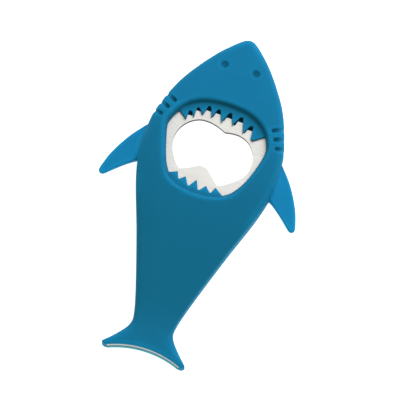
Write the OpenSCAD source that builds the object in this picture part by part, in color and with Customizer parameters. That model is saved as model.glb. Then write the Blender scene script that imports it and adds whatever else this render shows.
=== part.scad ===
// Shark-shaped souvenir bottle opener.
// A stainless steel opener plate sits inside a one-piece silicone sleeve.
// The opener lies on its back: X runs across the fins, Y runs from the tail to
// the nose, Z is up. The origin is the centre of the footprint, on the back face.

/* [Sleeve] */
// Length from the nose to the fluke tips
body_length = 150; // [148:1:152]
// Thickness at the ridge, level with the middle of the mouth
ridge_h = 10; // [9.4:0.1:11]
// Thickness at the nose
nose_h = 5.8; // [5.4:0.1:6.5]
// Thickness at the tail
tail_h = 6.4; // [6:0.1:7]
// Radius of the rounded upper edge
upper_edge_r = 2.4; // [1.2:0.1:2.6]
// Radius of the rounded lower edge
lower_edge_r = 1; // [0.6:0.1:1.2]
// Thickness of the pectoral fins where they leave the body
fin_root_h = 4; // [3:0.1:4.5]
// Thickness of the pectoral fins at their tips
fin_tip_h = 2.6; // [2:0.1:3]
// Silicone between the steel and the back face
back_wall = 2; // [1.6:0.1:2.2]

/* [Mouth] */
// Thickness of the gum that overlaps the front of the steel
gum_h = 1.5; // [1:0.1:2]
// Depth of the gill grooves
gill_depth = 1.5; // [0.6:0.1:1.6]
// Width of the gill grooves
gill_w = 1.4; // [0.8:0.1:1.6]
// Radius of the ball that shapes each eye dimple
eye_r = 1.9; // [1.5:0.1:2.5]
// Depth of the eye dimples
eye_depth = 1.4; // [0.5:0.1:1.5]

/* [Opener plate] */
// Thickness of the steel
plate_t = 2; // [1.6:0.1:2.2]
// Radius of the concave end of the tail
tail_arc_r = 41; // [38:0.5:46]
// How far the steel and the front wall stop short of the back wall at the tail
tail_step = 0.7; // [0:0.1:1.2]

/* [Hidden] */

half_length = body_length / 2;
plate_top = back_wall + plate_t;
gum_top = plate_top + gum_h;
ridge_y = 27;          // station of the thickest point
waist_y = -58;         // station where the tail's own thickness starts
tail_notch_y = 3.1;    // depth of the hollow between the fluke tips
curve_steps = 8;       // straight steps in each span of a curve
corner_steps = 3;      // straight steps in each rounded corner of a section
over = 1;              // how far a cutting tool reaches past what it cuts

// Right half of the body's outline, [half width, station], from the nose to the
// rear of the fluke. The stations are for a 150 mm body and stretch with it.
outline_length = 150;
body_side = [
    [0.5, 75], [2.5, 74.2], [6, 71.3], [11.7, 65.3], [18.3, 56.4], [23.7, 47.2],
    [27.8, 36.5], [30.1, 27], [30.1, 12], [27.5, -0.7], [20.3, -21.7], [12.7, -45.7],
    [9.6, -57.5], [9.7, -62.3], [12.4, -66.6], [17.9, -72.7], [18.8, -73.9], [17.5, -75]
];

// Right pectoral fin: leading edge, tip circle and trailing edge
fin_lead = [[27, 28.4], [31, 24.8], [36.8, 17.6], [41.8, 8.6], [44.3, 1.2]];
fin_tip_centre = [42.9, -0.1];
fin_tip_r = 1.6;
fin_trail = [[41, -0.6], [37, 3.1], [32.5, 6.8], [27, 10.4]];
fin_root_x = 30;       // where a fin starts to thin towards its tip

// Lip, the outline of the recess round the mouth, clockwise from the top
lip = [
    [0, 43.2], [6, 42.8], [11, 41.6], [15.4, 39.3], [18.6, 36.2], [20.8, 32.3],
    [21.8, 27.4], [20.2, 19.8], [17.9, 13.2], [15.5, 8.8], [12.4, 5.2], [7.4, 2.7],
    [0, 1.8], [-7.5, 2.5], [-12.9, 4.8], [-16, 8.5], [-18.2, 13], [-20.3, 19.5],
    [-22.2, 27.2], [-21.2, 31.4], [-18.8, 35.6], [-15.4, 39.3], [-11, 41.6], [-6, 42.8]
];
// Edge of the upper gum from left to right: its points hang down between the teeth
upper_gum = [
    [-30, 43.7], [-15.4, 31.9], [-15.4, 36.1], [-14.1, 36.2], [-12.6, 33.8],
    [-12.5, 38.5], [-11.4, 38.7], [-9.2, 36], [-8, 40.7], [-6.9, 40.7], [-5.2, 36],
    [-3.7, 40.4], [-2.5, 40.6], [-0.5, 35.2], [1.5, 40.4], [2.7, 40.6], [4.4, 35.5],
    [6.7, 40.1], [7.9, 40.2], [9.8, 33.5], [12, 37.6], [13.3, 37.7], [13.8, 32.2],
    [14.8, 31.5], [30, 42.3]
];
// Edge of the lower gum from right to left: its points stand up
lower_gum = [
    [30, -9.5], [6.3, 6.5], [5.1, 3.7], [4.6, 3.5], [2.2, 6], [-0.1, 3.3], [-0.7, 3.2],
    [-2.5, 7.5], [-4.8, 3.9], [-5.4, 3.7], [-7.5, 7.4], [-9.6, 5.6], [-10.3, 5.5],
    [-11.4, 8.5], [-30, 0.6]
];
// Smooth window in the back, where the bottle's neck comes through
back_window = [
    [0, 36], [-9, 36.4], [-15.5, 33], [-19, 25], [-17.5, 15], [-13, 8.5], [-4, 6.5],
    [6, 5.5], [14.5, 9.5], [19, 17.5], [18.5, 27], [13.5, 33.5], [7, 35.2]
];

// Gill grooves on the right side: [inner end, outer end]
gills = [
    [[22.4, 37.6], [27.8, 40.5]],
    [[24.4, 33.9], [29.4, 36.1]],
    [[26.3, 30.1], [30.5, 31.3]]
];
eye = [7.2, 60.4];

// Cap opening: left lobe, prising tab and right lobe, each ending at a corner
left_lobe = [
    [2.4, 31.9], [-2.2, 33.7], [-6.2, 34.4], [-10.1, 34], [-13.9, 31.8], [-16.8, 28.1],
    [-18, 23.1], [-16.8, 17.8], [-14.1, 13], [-11.6, 10.3]
];
prising_tab = [
    [-11.6, 10.3], [-7.9, 11.7], [-4.3, 13.8], [-1.8, 14.2], [0.6, 13.3], [3.2, 10.8],
    [6.4, 7.9]
];
right_lobe = [
    [6.4, 7.9], [9.2, 9], [14.3, 12.9], [17.1, 16.6], [17.8, 21.4], [16.9, 26],
    [13.5, 30.4], [9.2, 32.3], [5.5, 32.4], [2.4, 31.9]
];

// Outer edge of the plate: over the head from left to right, then the right side
// of the ring and the tang, down to the tail
plate_crown = [
    [-26, 27], [-22, 33], [-15.5, 33.6], [-9.4, 36.4], [-3, 36.8], [4.3, 36.2],
    [9.6, 34.4], [14.5, 33], [22, 33], [26, 27]
];
plate_side = [
    [26, 27], [25.2, 18], [22, 8], [16.5, -2], [11.5, -16], [8.6, -34], [6.6, -52],
    [6.6, -60], [9.8, -67], [15.8, -74], [17, -76]
];
// Steel teeth: [left end, right end, height of the tip]
steel_teeth = [
    [-21.5, -17.1, 37.4], [-15.6, -13.5, 34.5], [-12.9, -10.2, 37.5], [-8.7, -6.1, 38.8],
    [-4.1, -1.6, 38.8], [0.9, 3.5, 38.4], [6.1, 8.6, 38.2], [11.1, 13.5, 35.9],
    [16.1, 21.5, 37.4]
];
tooth_root = 6;        // how deep each tooth reaches into the ring
tooth_flare = 1.7;     // how much wider each side of a tooth is at its root

// Point at t, from 0 to 1, on the smooth curve from b to c with neighbours a and d
function curve_point(a, b, c, d, t) =
    b + (c - a) * t / 2
    + (2 * a - 5 * b + 4 * c - d) * t * t / 2
    + (3 * b - a - 3 * c + d) * t * t * t / 2;

// Smooth open curve through all the points of a list
function curve(p) = [
    for (i = [0 : len(p) - 2], k = [0 : curve_steps - 1])
        curve_point(p[max(i - 1, 0)], p[i], p[i + 1], p[min(i + 2, len(p) - 1)],
                    k / curve_steps),
    p[len(p) - 1]
];

// Smooth closed curve through all the points of a list
function loop(p) =
    let (n = len(p))
    [
        for (i = [0 : n - 1], k = [0 : curve_steps - 1])
            curve_point(p[(i + n - 1) % n], p[i], p[(i + 1) % n], p[(i + 2) % n],
                        k / curve_steps)
    ];

// The same list without its last point, and the list mirrored and turned round
function open_end(p) = [for (i = [0 : len(p) - 2]) p[i]];
function left_side(p) = [for (i = [len(p) - 1 : -1 : 0]) [-p[i][0], p[i][1]]];

function arc(centre, r, from, to, steps) = [
    for (k = [0 : steps])
        let (a = from + (to - from) * k / steps)
        centre + r * [cos(a), sin(a)]
];

// Height of the sleeve's upper face at a station
function top_z(y) = lookup(y, [
    [-half_length, tail_h], [waist_y, tail_h], [ridge_y, ridge_h], [half_length, nose_h]
]);

// Cross-section of the sleeve at a station: a slab with rounded corners
function section(w, y) =
    let (
        h = top_z(y),
        up = min(upper_edge_r, w * 0.9),
        low = min(lower_edge_r, w * 0.9)
    )
    [
        for (p = concat(
            arc([w - up, h - up], up, 0, 90, corner_steps),
            arc([up - w, h - up], up, 90, 180, corner_steps),
            arc([low - w, low], low, 180, 270, corner_steps),
            arc([w - low, low], low, 270, 360, corner_steps)
        ))
        [p[0], y, p[1]]
    ];

// Solid skin over equal sections that follow each other
module loft(sections) {
    n = len(sections[0]);
    last = len(sections) - 1;
    polyhedron(
        points = [for (s = sections) each s],
        faces = concat(
            [[for (k = [0 : n - 1]) k]],
            [for (s = [0 : last - 1], k = [0 : n - 1])
                let (a = s * n + k, b = s * n + (k + 1) % n)
                each [[a, b + n, b], [a, a + n, b + n]]],
            [[for (k = [n - 1 : -1 : 0]) last * n + k]]
        )
    );
}

module body() {
    stretch = body_length / outline_length;
    loft([for (p = curve(body_side)) section(p[0], p[1] * stretch)]);
}

// The right fin's outline from above, cut down to its profile from the rear
module fin() {
    tip = arc(fin_tip_centre, fin_tip_r, 20, -130, curve_steps);
    tip_x = fin_tip_centre[0] + fin_tip_r;
    intersection() {
        linear_extrude(ridge_h) polygon(concat(curve(fin_lead), tip, curve(fin_trail)));
        rotate([90, 0, 0])
            linear_extrude(body_length, center = true)
            polygon([
                [0, -over], [tip_x + over, -over], [tip_x + over, fin_tip_h],
                [tip_x, fin_tip_h], [fin_root_x, fin_root_h], [0, fin_root_h]
            ]);
    }
}

module lip_2d() {
    polygon(loop(lip));
}

// The toothed window lies inside the lip
module bite_2d() {
    intersection() {
        lip_2d();
        polygon(concat(upper_gum, lower_gum));
    }
}

module back_window_2d() {
    polygon(loop(back_window));
}

module cap_opening_2d() {
    polygon(concat(
        open_end(curve(left_lobe)),
        open_end(curve(prising_tab)),
        open_end(curve(right_lobe))
    ));
}

module tooth_2d(left, right, tip) {
    polygon([
        [left, tip], [right, tip],
        [right + tooth_flare, tip - tooth_root], [left - tooth_flare, tip - tooth_root]
    ]);
}

// Steel blank without its cap opening; the sleeve's pocket has the same outline
module blank_2d() {
    side = curve(plate_side);
    polygon(concat(open_end(curve(plate_crown)), side, open_end(left_side(side))));
    for (t = steel_teeth) tooth_2d(t[0], t[1], t[2]);
}

// Tool that hollows the end of the tail from a level up, set back by a distance
module tail_cutter(level, set_back) {
    translate([0, tail_notch_y - half_length - tail_arc_r + set_back, level])
        cylinder(h = ridge_h + 2 * over, r = tail_arc_r, $fn = 180);
}

// Groove with round ends, cut down to a level from above
module groove(from, to, level) {
    span = to - from;
    translate([from[0], from[1], level])
        rotate([0, 0, atan2(span[1], span[0])])
        linear_extrude(ridge_h) {
            circle(d = gill_w, $fn = 24);
            translate([0, -gill_w / 2]) square([norm(span), gill_w]);
            translate([norm(span), 0]) circle(d = gill_w, $fn = 24);
        }
}

module both_sides() {
    children();
    mirror([1, 0, 0]) children();
}

module opener_plate() {
    color("gainsboro")
    difference() {
        translate([0, 0, back_wall])
            linear_extrude(plate_t)
            difference() {
                blank_2d();
                cap_opening_2d();
            }
        tail_cutter(0, tail_step);
    }
}

module silicone_sleeve() {
    color("steelblue")
    difference() {
        union() {
            body();
            both_sides() fin();
        }
        tail_cutter(-over, 0);
        tail_cutter(back_wall, tail_step);
        // Pocket that the steel fills
        translate([0, 0, back_wall]) linear_extrude(plate_t) blank_2d();
        // Recess inside the lip, and the toothed window down to the back wall
        translate([0, 0, gum_top]) linear_extrude(ridge_h) lip_2d();
        translate([0, 0, back_wall]) linear_extrude(ridge_h) bite_2d();
        translate([0, 0, -over]) linear_extrude(back_wall + 2 * over) back_window_2d();
        both_sides() {
            for (g = gills) groove(g[0], g[1], top_z(g[0][1]) - gill_depth);
            translate([eye[0], eye[1], top_z(eye[1]) + eye_r - eye_depth])
                sphere(r = eye_r, $fn = 32);
        }
    }
}

opener_plate();
silicone_sleeve();
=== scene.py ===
"""Looks of the shark bottle opener: a moulded silicone sleeve round a stainless steel plate.

The steel plate is the CAD node itself. The sleeve is remodelled as a smooth moulding: its outlines
are cut out of the CAD solid, turned into distance fields, joined with rounded edges and fillets,
and skinned with one closed mesh. Lengths in the modelling part are in millimetres.
"""

import math

import bpy
import numpy as np
import openvdb
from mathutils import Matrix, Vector


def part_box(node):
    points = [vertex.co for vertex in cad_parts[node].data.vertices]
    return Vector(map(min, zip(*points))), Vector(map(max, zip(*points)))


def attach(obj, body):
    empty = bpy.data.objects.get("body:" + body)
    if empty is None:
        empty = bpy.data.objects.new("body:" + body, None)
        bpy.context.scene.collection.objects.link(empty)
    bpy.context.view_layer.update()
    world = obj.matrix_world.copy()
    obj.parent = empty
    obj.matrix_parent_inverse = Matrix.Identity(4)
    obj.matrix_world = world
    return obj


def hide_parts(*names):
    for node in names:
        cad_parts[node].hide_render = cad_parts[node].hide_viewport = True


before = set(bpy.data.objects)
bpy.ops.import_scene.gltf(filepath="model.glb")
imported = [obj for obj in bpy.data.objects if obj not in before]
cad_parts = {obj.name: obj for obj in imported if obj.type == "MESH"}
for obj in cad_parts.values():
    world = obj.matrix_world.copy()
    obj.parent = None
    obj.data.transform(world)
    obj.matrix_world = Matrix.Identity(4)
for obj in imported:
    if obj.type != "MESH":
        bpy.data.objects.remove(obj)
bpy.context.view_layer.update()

# ---------------------------------------------------------------- sizes, in millimetres

MM = 0.001
PLATE_LOW, PLATE_HIGH = (corner.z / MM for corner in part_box("opener_plate"))
SLEEVE_LOW, SLEEVE_HIGH = (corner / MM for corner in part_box("silicone_sleeve"))
GUM_TOP = PLATE_HIGH + 1.5

# Body, from the tail to the nose
STATIONS = (-75, -58, 27, 75)          # tail end, waist, ridge and nose
HEIGHTS = (6.4, 6.4, 10, 5.8)          # thickness of the sleeve at those stations
RIDGE_SOFTNESS = 3
PILLOW_DROP, PILLOW_WIDTH = 0.7, 10    # how the top rolls off towards its edge
UPPER_EDGE_R, LOWER_EDGE_R = 2.4, 1.0

# Fins
FIN_TOP, FIN_TIP_TOP = 4.2, 2.6
FIN_TAPER = 14                         # how far from the body a fin reaches its tip's thickness
FIN_EDGE_R, FIN_FILLET = 0.9, 2.6
FIN_FILLET_FOOT = (0.8, 2)             # heights between which the fillet comes in
FIN_REAR, FIN_FRONT = 4, 30            # stations between which the fins leave the body
FIN_NEAR, FIN_FAR = 6, 12              # how far past those stations their effect fades
FIN_DROP = 0.9                         # how much more the top rolls off beside the fins
FIN_LIMIT = -20                        # no fin reaches behind this station

# Tail
TAIL_ARC_R, TAIL_NOTCH, TAIL_STEP = 41, 3.1, 0.7
TAIL_EDGE_R = 0.6
TAIL_EDGE_RUN = (0.8, 4)               # distances from the end over which the edge gets its full radius

# Mouth
LIP_DRAFT, CHIN_DRAFT = 0.27, 0.5      # how far the lip leans out per mm, above and below the mouth
CHIN_RUN = (3, 14)                     # stations between which one draft turns into the other
LIP_FOOT_R, LIP_RIM_R = 0.6, 1.3
GUM_EDGE_R, BACK_EDGE_R = 0.25, 0.5
MOUTH_HALF_WIDTH, MOUTH_LOW, MOUTH_HIGH = 23, 0.5, 44.5
NECK_OVERLAP, POCKET_GAP = 0.1, 0.02   # the window's cut into the pocket, and play round the steel

# Gills on the +X side: inner end and outer end; the eyes
GILLS = (((22.4, 37.6), (27.8, 40.5)), ((24.4, 33.9), (29.4, 36.1)), ((26.3, 30.1), (30.5, 31.3)))
GILL_WIDTH, GILL_RIM_WIDTH = 0.8, 0.85
GILL_DEPTH, GILL_RIM_DEPTH, GILL_FOOT_DEPTH = 1.4, 0.4, 0.9
GILL_TURN = (0.05, 0.6)                # shares of a groove between which it becomes a rim notch
GILL_STOP = (5, 7)                     # distances past its outer end over which it runs out
GILL_FOOT = (2, 6)                     # heights between which the notch gets shallower
GILL_BASE = 0.8                        # height above the back face where the grooves start
EYE = (7.2, 60.4)
EYE_R, EYE_DEPTH, EYE_RIM_R = 1.9, 1.4, 0.35

# Heights where the CAD sleeve is cut: the whole outline, the body with its window, and the lip
OUTER_CUT, BODY_CUT, LIP_CUT = 1.5, PLATE_HIGH + 0.02, GUM_TOP + 0.1
OUTLINE_SOFTNESS, LIP_SOFTNESS = 0.3, 0.4

EDGE_REACH = 1.0                       # how far light seeps into the silicone at its edges

VOXEL = 0.27
MARGIN = 1.6
SKIN_ADAPTIVITY = 0.02
SHORTEST_EDGE = 1e-7

# ---------------------------------------------------------------- outlines cut from the CAD solids


def triangles(node):
    """Corners of a CAD node's triangles, in mm."""
    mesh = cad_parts[node].data
    mesh.calc_loop_triangles()
    places = np.zeros(3 * len(mesh.vertices))
    mesh.vertices.foreach_get("co", places)
    corners = np.zeros(3 * len(mesh.loop_triangles), int)
    mesh.loop_triangles.foreach_get("vertices", corners)
    return places.reshape(-1, 3)[corners.reshape(-1, 3)] / MM


def outline(node, level):
    """Edges of a CAD node's section at a height: [edge, end, xy]."""
    corners = triangles(node)
    above = corners[:, :, 2] > level
    cut = above.any(1) & ~above.all(1)
    start, end = corners[cut], np.roll(corners[cut], -1, 1)
    crossing = above[cut] != np.roll(above[cut], -1, 1)
    rise = np.where(crossing, end[:, :, 2] - start[:, :, 2], 1)
    share = ((level - start[:, :, 2]) / rise)[:, :, None]
    points = (start + share * (end - start))[crossing][:, :2]
    return points.reshape(-1, 2, 2)


def split_mouth(edges):
    """The edges round the outside, and those inside the mouth."""
    middle = edges.mean(1)
    inside = np.abs(middle[:, 0]) < MOUTH_HALF_WIDTH
    inside &= (middle[:, 1] > MOUTH_LOW) & (middle[:, 1] < MOUTH_HIGH)
    return edges[~inside], edges[inside]


def axis(low, high):
    return np.arange(low - MARGIN, high + MARGIN + VOXEL, VOXEL)


XS, YS, ZS = (axis(SLEEVE_LOW[k], SLEEVE_HIGH[k]) for k in range(3))
X, Y = np.meshgrid(XS, YS, indexing="ij")
Z = ZS[None, None, :]


def flat_distance(edges):
    """Distance from each grid point to an outline seen from above, negative inside it."""
    start, span = edges[:, 0], edges[:, 1] - edges[:, 0]
    long_enough = np.abs(span).sum(1) > SHORTEST_EDGE
    start, span = start[long_enough], span[long_enough]
    length2 = (span ** 2).sum(1)
    steep = np.where(span[:, 1] == 0, 1, span[:, 1])
    field = np.zeros((len(XS), len(YS)))
    dy = YS[:, None] - start[:, 1]
    passes = (dy < 0) != (dy < span[:, 1])
    reach = dy / steep * span[:, 0]
    for i, x in enumerate(XS):
        dx = x - start[:, 0]
        share = np.clip((dx * span[:, 0] + dy * span[:, 1]) / length2, 0, 1)
        gap = np.hypot(dx - share * span[:, 0], dy - share * span[:, 1]).min(1)
        inside = (passes & (reach > dx)).sum(1) % 2 == 1
        field[i] = np.where(inside, -gap, gap)
    return field


def soften(field, radius):
    """Gaussian blur of a field."""
    reach = int(math.ceil(2.5 * radius / VOXEL))
    steps = range(-reach, reach + 1)
    weights = np.array([math.exp(-0.5 * (k * VOXEL / radius) ** 2) for k in steps])
    weights /= weights.sum()
    for along in range(field.ndim):
        pads = [(reach, reach) if k == along else (0, 0) for k in range(field.ndim)]
        padded = np.pad(field, pads, mode="edge")
        size = field.shape[along]
        parts = (w * np.take(padded, range(k, k + size), along) for k, w in enumerate(weights))
        field = sum(parts)
    return field


# ---------------------------------------------------------------- distance field of the sleeve


def round_max(a, b, r):
    """What lies inside both, with the edge between them rounded."""
    return np.minimum(-r, np.maximum(a, b)) + np.hypot(np.maximum(r + a, 0), np.maximum(r + b, 0))


def round_min(a, b, r):
    """What lies inside either, with a fillet between them."""
    return -round_max(-a, -b, r)


def ease(value, low, high):
    """Smooth step from 0 at low to 1 at high."""
    share = np.clip((value - low) / (high - low), 0, 1)
    return share * share * (3 - 2 * share)


outer_edges, back_edges = split_mouth(outline("silicone_sleeve", OUTER_CUT))
body_edges, window_edges = split_mouth(outline("silicone_sleeve", BODY_CUT))
_, lip_edges = split_mouth(outline("silicone_sleeve", LIP_CUT))

outer = soften(flat_distance(outer_edges), OUTLINE_SOFTNESS)
body = soften(flat_distance(body_edges), OUTLINE_SOFTNESS)
window = flat_distance(window_edges)
lip = soften(flat_distance(lip_edges), LIP_SOFTNESS)
back = soften(flat_distance(back_edges), OUTLINE_SOFTNESS)
plate = flat_distance(outline("opener_plate", (PLATE_LOW + PLATE_HIGH) / 2))

top = soften(np.interp(Y, STATIONS, HEIGHTS), RIDGE_SOFTNESS)
past_rear = ease(Y, FIN_REAR - FIN_FAR, FIN_REAR + FIN_NEAR)
past_front = ease(Y, FIN_FRONT - FIN_NEAR, FIN_FRONT + FIN_FAR)
beside_fins = past_rear * (1 - past_front)
top -= (PILLOW_DROP + FIN_DROP * beside_fins) * np.clip(1 + body / PILLOW_WIDTH, 0, 1) ** 2
tail_centre = TAIL_NOTCH + STATIONS[0] - TAIL_ARC_R + TAIL_STEP
tail_gap = np.hypot(X, Y - tail_centre) - TAIL_ARC_R
upper_r = TAIL_EDGE_R + (UPPER_EDGE_R - TAIL_EDGE_R) * ease(tail_gap, *TAIL_EDGE_RUN)


def gill_grooves():
    """Depth of the gill grooves at each grid point. They run out over the edge and down the side."""
    depth = np.zeros(X.shape + Z.shape[2:])
    for inner, rim in GILLS:
        span = np.subtract(rim, inner)
        length = math.hypot(*span)
        along_x, along_y = span / length
        dx, dy = np.abs(X) - inner[0], Y - inner[1]
        along = dx * along_x + dy * along_y
        across = dy * along_x - dx * along_y
        before = np.maximum(-along, 0)
        outward = ease(along / length, *GILL_TURN)
        width = GILL_WIDTH + (GILL_RIM_WIDTH - GILL_WIDTH) * outward
        cross_cut = np.exp(-((np.hypot(across, before) / width) ** 2) ** 2)
        stop = 1 - ease(along - length, *GILL_STOP)
        rim_depth = GILL_FOOT_DEPTH + (GILL_RIM_DEPTH - GILL_FOOT_DEPTH) * ease(Z, *GILL_FOOT)
        run = GILL_DEPTH + (rim_depth - GILL_DEPTH) * outward[:, :, None]
        depth = np.maximum(depth, run * (cross_cut * stop)[:, :, None])
    return depth


def body_with_fins():
    middle_part = round_max(body[:, :, None], Z - top[:, :, None], upper_r[:, :, None])
    middle_part = round_max(middle_part, -Z, LOWER_EDGE_R)
    slab_top = FIN_TOP + (FIN_TIP_TOP - FIN_TOP) * np.clip(body / FIN_TAPER, 0, 1)
    slab_top = np.where(Y < FIN_LIMIT, PLATE_LOW, slab_top)
    slab = round_max(outer[:, :, None], Z - slab_top[:, :, None], FIN_EDGE_R)
    slab = round_max(slab, -Z, LOWER_EDGE_R)
    fillet = np.where(Y < FIN_LIMIT, 0, np.clip(0.5 * (body - outer), 0, FIN_FILLET))
    return round_min(middle_part, slab, fillet[:, :, None] * ease(Z, *FIN_FILLET_FOOT))


def cut_mouth(solid):
    """Takes the recess inside the lip, the toothed window and the window in the back out of a field."""
    draft = CHIN_DRAFT + (LIP_DRAFT - CHIN_DRAFT) * ease(Y, *CHIN_RUN)
    recess = round_max(lip[:, :, None] - draft[:, :, None] * (Z - GUM_TOP), GUM_TOP - Z, LIP_FOOT_R)
    solid = round_max(solid, -recess, LIP_RIM_R)
    teeth = np.maximum(window[:, :, None], PLATE_LOW - Z)
    solid = round_max(solid, -teeth, GUM_EDGE_R)
    neck = np.maximum(back[:, :, None], Z - PLATE_LOW - NECK_OVERLAP)
    return round_max(solid, -neck, BACK_EDGE_R)


def plate_pocket():
    middle = (PLATE_LOW + PLATE_HIGH) / 2
    return np.maximum(plate[:, :, None], np.abs(Z - middle) - (PLATE_HIGH - middle) + POCKET_GAP)


def eye_balls():
    """The pair of balls that press the eye dimples."""
    level = np.interp(EYE[1], STATIONS, HEIGHTS) + EYE_R - EYE_DEPTH
    flat = np.hypot(np.abs(X) - EYE[0], Y - EYE[1])
    return np.hypot(flat[:, :, None], Z - level) - EYE_R


def sleeve_field():
    solid = body_with_fins() + gill_grooves() * ease(Z, 0, GILL_BASE)
    solid = np.maximum(cut_mouth(solid), -plate_pocket())
    return round_max(solid, -eye_balls(), EYE_RIM_R)


# ---------------------------------------------------------------- mesh of the sleeve


def sample(field, places):
    """Value of a grid field at points in mm, by linear interpolation."""
    places = places[:, : field.ndim]
    low = np.array([XS[0], YS[0], ZS[0]][: field.ndim])
    where = (places - low) / VOXEL
    where = np.clip(where, 0, np.array(field.shape) - 1.001)
    cell = where.astype(int)
    share = where - cell
    total = np.zeros(len(places))
    for corner in range(2 ** field.ndim):
        bits = [corner >> k & 1 for k in range(field.ndim)]
        weight = np.ones(len(places))
        for k, bit in enumerate(bits):
            weight = weight * (share[:, k] if bit else 1 - share[:, k])
        total += weight * field[tuple(cell[:, k] + bit for k, bit in enumerate(bits))]
    return total


def skin(field):
    """Closed mesh on the zero level of a field: places in mm, faces and outward normals."""
    grid = openvdb.FloatGrid(3.0)
    grid.copyFromArray(field.astype(np.float32))
    places, tris, quads = grid.convertToPolygons(isovalue=0, adaptivity=SKIN_ADAPTIVITY)
    places = places * VOXEL + np.array([XS[0], YS[0], ZS[0]])
    slopes = np.gradient(field, VOXEL)
    for _ in range(2):
        normal = np.stack([sample(s, places) for s in slopes], 1)
        steep = np.maximum((normal ** 2).sum(1), 0.2)
        step = np.clip(sample(field, places) / steep, -0.3 * VOXEL, 0.3 * VOXEL)
        places = places - normal * step[:, None]
    normal = np.stack([sample(s, places) for s in slopes], 1)
    normal /= np.linalg.norm(normal, axis=1)[:, None]
    faces = tris.tolist() + quads.tolist()
    return np.clip(places, SLEEVE_LOW, SLEEVE_HIGH), faces, normal


def sharpness(field):
    """How convex the skin is within about EDGE_REACH: positive on edges, negative in creases."""
    return soften(field, EDGE_REACH) - field


def edge_tone(y, bend, past_outer):
    """Where light seeps through an edge: round the head, the fins and the tail, most of all at the nose."""
    edge = ease(bend, 0.05, 0.4) * (ease(y, -12, 0) + 0.65 * ease(-y, 60, 68))
    chin = 1.6 - 0.6 * ease(y, 2, 12)
    nose = ease(-past_outer, 4, 1.5) * ease(y, 62, 72)
    return np.maximum(0.4 * edge * chin, 0.35 * nose)


def sleeve_tones(places, normal, bend):
    """How far each tone of the silicone applies at each vertex. Limits are in mm, as ease() takes them."""
    x, y, z = places.T
    past_body, past_outer = sample(body, places), sample(outer, places)
    at_end = ease(-sample(tail_gap, places), -0.3, 0) * ease(PLATE_LOW + 0.4 - z, 0, 0.3)
    at_window = ease(0.3 - np.abs(sample(window, places)), 0, 0.2)
    at_steel = ease(PLATE_HIGH + 0.6 - z, 0, 0.3) * ease(z, PLATE_HIGH - 0.3, PLATE_HIGH)
    at_side = ease(-past_outer, 0.9, 0.1) * ease(0.7 - normal[:, 2], 0, 0.5)
    at_fin_root = ease(past_body, -4, -1.5) * sample(beside_fins, places)
    inside_lip = ease(-sample(lip, places), -0.6, 0.4)
    return {
        # painted light: the head is lighter, as where its top tilts towards the key light
        "head": ease(y, -25, 62),
        # painted light: the rear of the tail is lighter, as where the top lies flatter to the light
        "tail": ease(-y, 45, 74),
        # painted light: the thin fins are lighter, as light shines through them
        "fin": ease(past_body, -1.2, 1.4) * ease(past_body - past_outer, 0.3, 2.5),
        "edge": edge_tone(y, bend, past_outer),
        # painted light: the lower side walls are lighter, as if lit from the pale floor
        "side": at_side * ease(y, -73, -67),
        # painted light: the tail's end face under the steel is pale, as if lit from the floor
        "tail_end": at_end * ease(17.5 - np.abs(x), 0, 3),
        # painted shadow: a dark line on the silicone where its window edge meets the steel
        "contact_shadow": at_window * at_steel,
        # painted light: lifts the shade at the fin roots on faces turned away from the key light
        "lee": at_fin_root * ease(-normal[:, 0], 0.1, 0.5) * ease(past_body, -1, 0.5),
        # painted shade: creases and hollows are darker, except at the fin roots
        "crease_shade": ease(-bend, 0.05, 0.4) * (1 - at_fin_root),
        # painted light: the gum inside the lip is lighter, as a flat face turned up to the light
        "gum": inside_lip * ease(z, PLATE_HIGH, PLATE_HIGH + 0.8),
    }


def build_sleeve():
    field = sleeve_field()
    places, faces, normal = skin(field)
    mesh = bpy.data.meshes.new("sleeve_skin")
    mesh.from_pydata((places * MM).tolist(), [], faces)
    mesh.validate()
    mesh.shade_smooth()
    mesh.normals_split_custom_set_from_vertices(normal.tolist())
    bend = sample(sharpness(field), places)
    for name, values in sleeve_tones(places, normal, bend).items():
        attribute = mesh.attributes.new(name, "FLOAT", "POINT")
        attribute.data.foreach_set("value", values.astype(np.float32))
    piece = bpy.data.objects.new("sleeve_moulding", mesh)
    bpy.context.scene.collection.objects.link(piece)
    return piece


# ---------------------------------------------------------------- materials


def feed(value, socket):
    """Joins a socket to an input, or sets the input to a constant."""
    if isinstance(value, bpy.types.NodeSocket):
        socket.id_data.links.new(value, socket)
    else:
        socket.default_value = value


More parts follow.
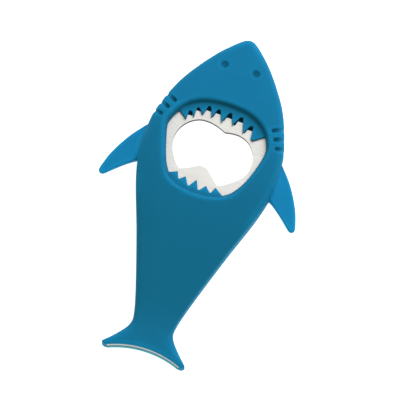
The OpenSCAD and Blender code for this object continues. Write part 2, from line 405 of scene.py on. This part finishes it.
class Nodes:
    """Short hand for a material's node tree."""

    def __init__(self, name):
        self.material = bpy.data.materials.new(name)
        self.material.use_nodes = True
        self.tree = self.material.node_tree
        self.shader = self.tree.nodes["Principled BSDF"]

    def new(self, kind, **inputs):
        node = self.tree.nodes.new(kind)
        for key, value in inputs.items():
            node.inputs[key.replace("_", " ")].default_value = value
        return node

    def join(self, source, target):
        self.tree.links.new(source, target)

    def set(self, **inputs):
        for key, value in inputs.items():
            self.shader.inputs[key.replace("_", " ")].default_value = value

    def attribute(self, name):
        node = self.new("ShaderNodeAttribute")
        node.attribute_name = name
        return node.outputs["Fac"]

    def noise(self, scale, detail=4, roughness=0.5, stretch=(1, 1, 1), turn=0):
        where = self.new("ShaderNodeTexCoord").outputs["Object"]
        mapping = self.new("ShaderNodeMapping", Scale=stretch, Rotation=(0, 0, turn))
        texture = self.new("ShaderNodeTexNoise", Scale=scale, Detail=detail, Roughness=roughness)
        self.join(where, mapping.inputs["Vector"])
        self.join(mapping.outputs["Vector"], texture.inputs["Vector"])
        return texture.outputs["Fac"]

    def spread(self, noise, to_low=0, to_high=1):
        """Maps the range where most of a noise lies to a given range."""
        return self.remap(noise, 0.3, 0.7, to_low, to_high)

    def remap(self, value, low, high, to_low, to_high):
        node = self.new("ShaderNodeMapRange", From_Min=low, From_Max=high,
                        To_Min=to_low, To_Max=to_high)
        self.join(value, node.inputs["Value"])
        return node.outputs["Result"]

    def blend(self, share, a, b):
        """Mix of two colours; each is a colour or a socket, and share a number or a socket."""
        node = self.tree.nodes.new("ShaderNodeMix")
        node.data_type = "RGBA"
        feed(share, node.inputs[0])
        feed(a, node.inputs[6])
        feed(b, node.inputs[7])
        return node.outputs[2]

    def times(self, a, b):
        node = self.tree.nodes.new("ShaderNodeMath")
        node.operation = "MULTIPLY"
        feed(a, node.inputs[0])
        feed(b, node.inputs[1])
        return node.outputs[0]

    def bump(self, height, strength, distance):
        node = self.new("ShaderNodeBump", Strength=strength, Distance=distance)
        self.join(height, node.inputs["Height"])
        self.join(node.outputs["Normal"], self.shader.inputs["Normal"])


def srgb(red, green, blue):
    """Linear colour of an sRGB one given in 0 to 255."""
    parts = [c / 255 for c in (red, green, blue)]
    return [c / 12.92 if c < 0.04045 else ((c + 0.055) / 1.055) ** 2.4 for c in parts] + [1]


def grey(level):
    return (level, level, level, 1)


# The silicone's colour between the mouth and the tail, and the tones laid over it in this order:
# the sleeve's attribute that says where, how strong the tone is there, and its colour
SILICONE_BLUE = (22, 106, 139)
SILICONE_TONES = (
    # painted light: the head lighter, as where its top tilts towards the key light
    ("head", 1, (24, 119, 162)),
    # painted light: the rear of the tail lighter, as where the top lies flatter to the light
    ("tail", 1, (24, 114, 152)),
    # painted light: the gum lighter, as a flat face turned up to the light
    ("gum", 1, (24, 114, 151)),
    # painted light: the thin fins lighter, as light shines through them
    ("fin", 1, (26, 132, 183)),
    # painted light: lifts the shade at the fin roots turned away from the key light
    ("lee", 0.6, (30, 150, 207)),
    ("edge", 1, (26, 150, 205)),
    # painted light: the lower side walls lit from the pale floor
    ("side", 0.4, (26, 158, 205)),
    # painted shade: creases and hollows darker
    ("crease_shade", 0.55, (17, 80, 92)),
    # painted shadow: a dark line where the window edge meets the steel
    ("contact_shadow", 0.7, (40, 52, 54)),
    # painted light: the tail's end face under the steel, as if lit from the floor
    ("tail_end", 0.85, (122, 200, 222)),
)
SILICONE_MOTTLE = (18, 96, 128)

STEEL_DARK, STEEL_LIGHT = (0.565, 0.555, 0.50, 1), (0.62, 0.61, 0.555, 1)
STEEL_GRAIN = (0.51, 0.50, 0.45, 1)
STEEL_CUT, STEEL_TAIL_CUT = (0.14, 0.14, 0.13, 1), grey(0.66)


def silicone():
    m = Nodes("moulded_silicone")
    colour = srgb(*SILICONE_BLUE)
    for name, strength, tone in SILICONE_TONES:
        colour = m.blend(m.times(m.attribute(name), strength), colour, srgb(*tone))
    colour = m.blend(m.times(m.spread(m.noise(90, 3)), 0.12), colour, srgb(*SILICONE_MOTTLE))
    m.join(colour, m.shader.inputs["Base Color"])
    m.join(m.spread(m.noise(900, 5), 0.5, 0.62), m.shader.inputs["Roughness"])
    m.set(Specular_IOR_Level=0.04, Specular_Tint=(0.1, 0.6, 1, 1))
    m.bump(m.noise(3500, 4, 0.6), 0.12, 0.00008)
    return m.material


def steel():
    """Satin steel with a fine grain on its faces, a dark cut edge and a bright one at the tail."""
    m = Nodes("satin_steel")
    facing = m.new("ShaderNodeTexCoord").outputs["Normal"]
    split = m.new("ShaderNodeSeparateXYZ")
    m.join(facing, split.inputs["Vector"])
    upright = m.tree.nodes.new("ShaderNodeMath")
    upright.operation = "ABSOLUTE"
    m.join(split.outputs["Z"], upright.inputs[0])
    face = m.remap(upright.outputs[0], 0.2, 0.8, 0, 1)
    place = m.new("ShaderNodeSeparateXYZ")
    m.join(m.new("ShaderNodeTexCoord").outputs["Object"], place.inputs["Vector"])
    at_tail = m.remap(place.outputs["Y"], -0.06, -0.066, 0, 1)
    grain = m.noise(160, 6, 0.65, stretch=(1, 22, 1), turn=math.radians(14))
    cloud = m.noise(70, 3)
    shade = m.blend(m.spread(cloud), STEEL_DARK, STEEL_LIGHT)
    shade = m.blend(m.times(m.spread(grain), 0.25), shade, STEEL_GRAIN)
    wall = m.blend(at_tail, STEEL_CUT, STEEL_TAIL_CUT)
    m.join(m.blend(face, wall, shade), m.shader.inputs["Base Color"])
    m.join(m.blend(face, grey(0.35), grey(1)), m.shader.inputs["Specular Tint"])
    m.join(m.spread(grain, 0.48, 0.58), m.shader.inputs["Roughness"])
    m.set(Metallic=0.7)
    m.bump(grain, 0.15, 0.00003)
    return m.material


def floor_paint():
    m = Nodes("pale_floor")
    m.join(m.blend(m.noise(6, 2), grey(0.64), grey(0.66)), m.shader.inputs["Base Color"])
    m.set(Roughness=0.9, Specular_IOR_Level=0.1, Emission_Color=grey(1), Emission_Strength=0.9)
    return m.material


# ---------------------------------------------------------------- the object

sleeve = build_sleeve()
sleeve.data.materials.append(silicone())
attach(sleeve, "root")
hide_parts("silicone_sleeve")

plate_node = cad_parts["opener_plate"]
plate_node.data.materials.clear()
plate_node.data.materials.append(steel())
weld = plate_node.modifiers.new("weld", "WELD")
weld.merge_threshold = 1e-6
bevel = plate_node.modifiers.new("rolled_edges", "BEVEL")
bevel.width = 0.1 * MM
bevel.segments = 2
bevel.limit_method = "ANGLE"
bevel.angle_limit = math.radians(40)

# ---------------------------------------------------------------- floor, light and camera

AZIMUTH, ELEVATION = 18.17, 72.95      # where the camera is, in degrees
AIM = Vector((1.21, 0.60, 0)) * MM
LENS, SENSOR, VIEW_WIDTH = 800, 36, 172.56 * MM
FLOOR_REACH = 6                        # metres from the middle of the floor to its sides
FLOOR_GAP = 0.05 * MM                  # keeps the floor off the flat back face
LIGHT_DISTANCE, LIGHT_SIZE = 1.2, 0.8  # in metres
LIGHT_COLOUR, WORLD_COLOUR = (1, 1, 1.18), (1, 1, 0.76, 1)


def direction(azimuth, elevation):
    """Unit vector from the object towards a place given by two angles in degrees."""
    a, e = math.radians(azimuth), math.radians(elevation)
    return Vector((math.sin(a) * math.cos(e), -math.cos(a) * math.cos(e), math.sin(e)))


def add_floor():
    mesh = bpy.data.meshes.new("floor")
    signs = ((-1, -1), (1, -1), (1, 1), (-1, 1))
    corners = [(FLOOR_REACH * across, FLOOR_REACH * along, 0) for across, along in signs]
    mesh.from_pydata(corners, [], [(0, 1, 2, 3)])
    mesh.materials.append(floor_paint())
    floor = bpy.data.objects.new("floor", mesh)
    floor.location.z = -FLOOR_GAP
    bpy.context.scene.collection.objects.link(floor)


def add_light(name, azimuth, elevation, power):
    """Square softbox that looks at the object from a direction, in degrees."""
    lamp = bpy.data.lights.new(name, "AREA")
    lamp.size = LIGHT_SIZE
    lamp.energy = power
    lamp.color = LIGHT_COLOUR
    light = bpy.data.objects.new(name, lamp)
    away = direction(azimuth, elevation)
    light.location = away * LIGHT_DISTANCE
    light.rotation_euler = away.to_track_quat("Z", "Y").to_euler()
    bpy.context.scene.collection.objects.link(light)


def add_world(strength):
    world = bpy.data.worlds.new("studio")
    world.use_nodes = True
    background = world.node_tree.nodes["Background"]
    background.inputs["Color"].default_value = WORLD_COLOUR
    background.inputs["Strength"].default_value = strength
    bpy.context.scene.world = world


def add_camera():
    data = bpy.data.cameras.new("camera")
    data.lens, data.sensor_width = LENS, SENSOR
    distance = VIEW_WIDTH * LENS / SENSOR
    data.clip_start, data.clip_end = 0.01, 4 * distance
    away = direction(AZIMUTH, ELEVATION)
    camera = bpy.data.objects.new("camera", data)
    camera.location = AIM + away * distance
    camera.rotation_mode = "QUATERNION"
    camera.rotation_quaternion = away.to_track_quat("Z", "Y")
    bpy.context.scene.collection.objects.link(camera)
    bpy.context.scene.camera = camera


add_floor()
add_world(0.47)
add_light("key", azimuth=158, elevation=62, power=8.6)
add_light("fill", azimuth=165, elevation=22, power=2.6)
add_camera()
bpy.context.scene.view_settings.view_transform = "Standard"
